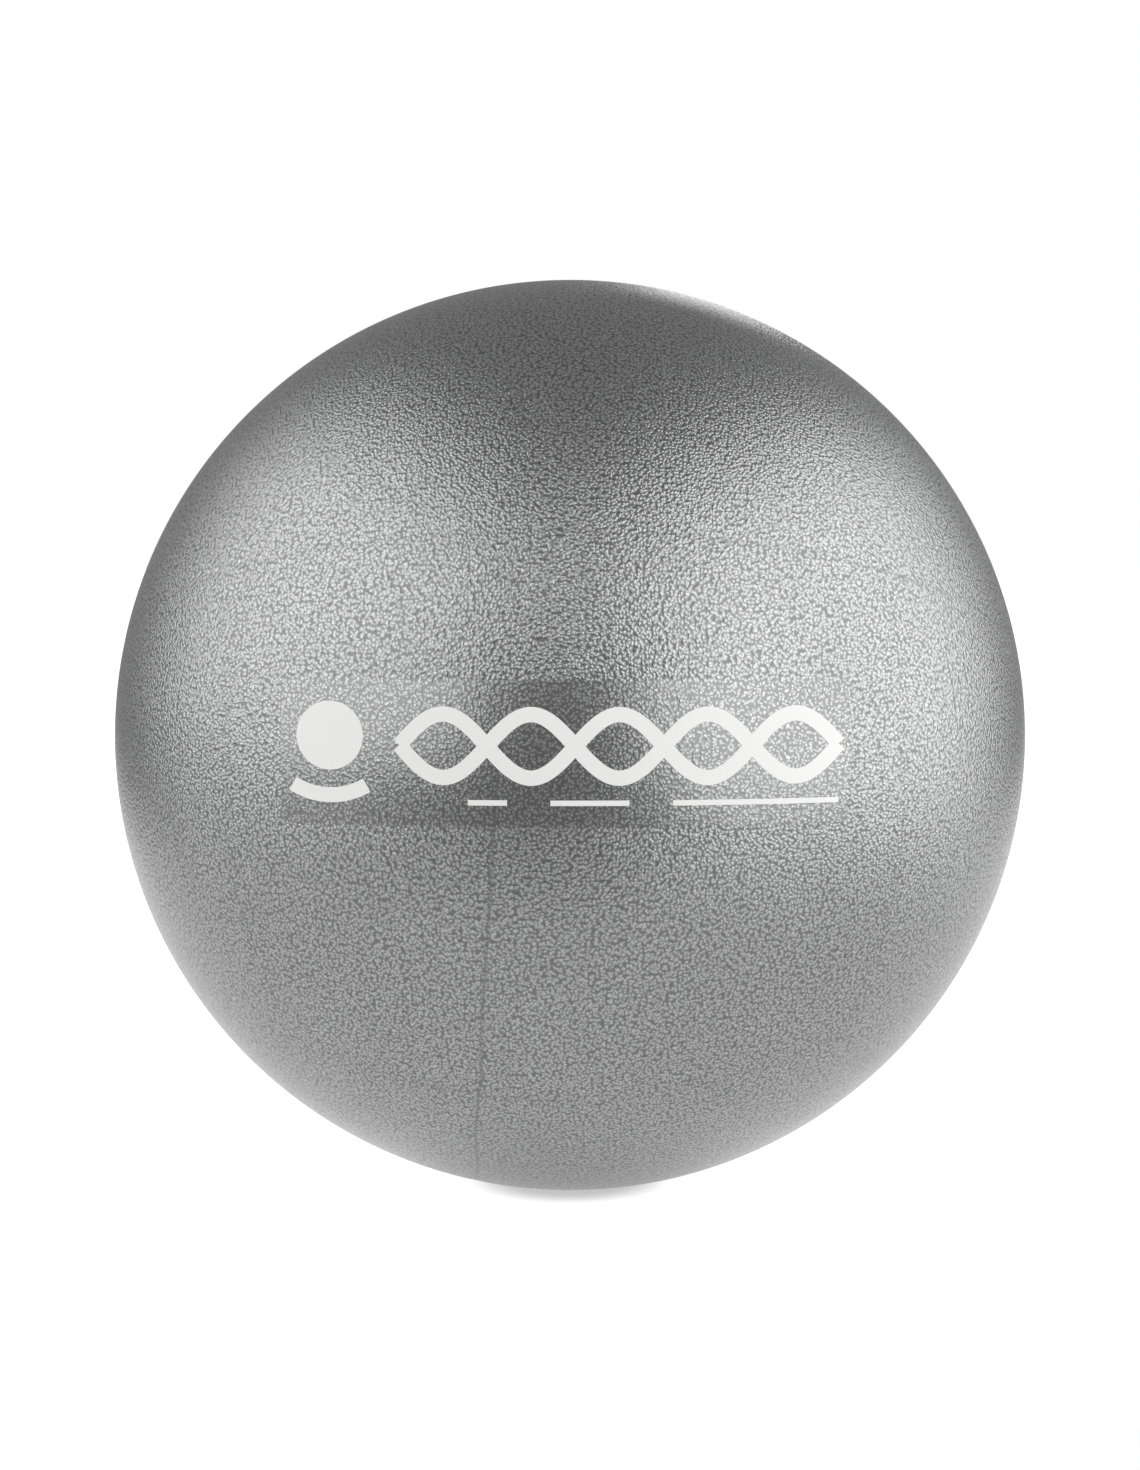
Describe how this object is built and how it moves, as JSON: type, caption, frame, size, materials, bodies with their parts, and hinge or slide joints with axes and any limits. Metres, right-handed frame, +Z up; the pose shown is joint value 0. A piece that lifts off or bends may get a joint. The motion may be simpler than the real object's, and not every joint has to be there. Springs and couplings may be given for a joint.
{
  "type": "exercise ball",
  "caption": "Soft inflatable exercise ball: a thin pebble-grained hollow sphere with a flush pull-out stopper in its filling valve and a flat printed band across its face.",
  "frame": {"origin": "centre of the contact flat that the ball rests on, at the bottom centre of the ball", "axes": "+Z up; -Y towards the front, where the print is; +Y along the valve's axis, out of the ball at the back; +X to the right of a viewer who faces the print"},
  "size_m": [0.25, 0.2505, 0.249],
  "materials": {
    "skin": "silver-grey soft PVC, satin, fine pebble grain",
    "seat": "grey soft PVC, smooth, semi-matte",
    "plug": "off-white polyethylene, smooth, semi-matte",
    "ink": "off-white printing ink, flat and matt"
  },
  "bodies": {
    "ball": {"ball_skin": "skin", "valve_seat": "seat", "print_disc": "ink", "print_cradle": "ink", "print_band": "ink", "print_dash_left": "ink", "print_dash_middle": "ink", "print_dash_right": "ink"},
    "plug": {"valve_plug": "plug"}
  },
  "joints": [
    {"name": "plug_pull", "type": "slide", "parent": "ball", "child": "plug", "axis": [0, 1, 0], "range_m": [0, 0.025]}
  ]
}
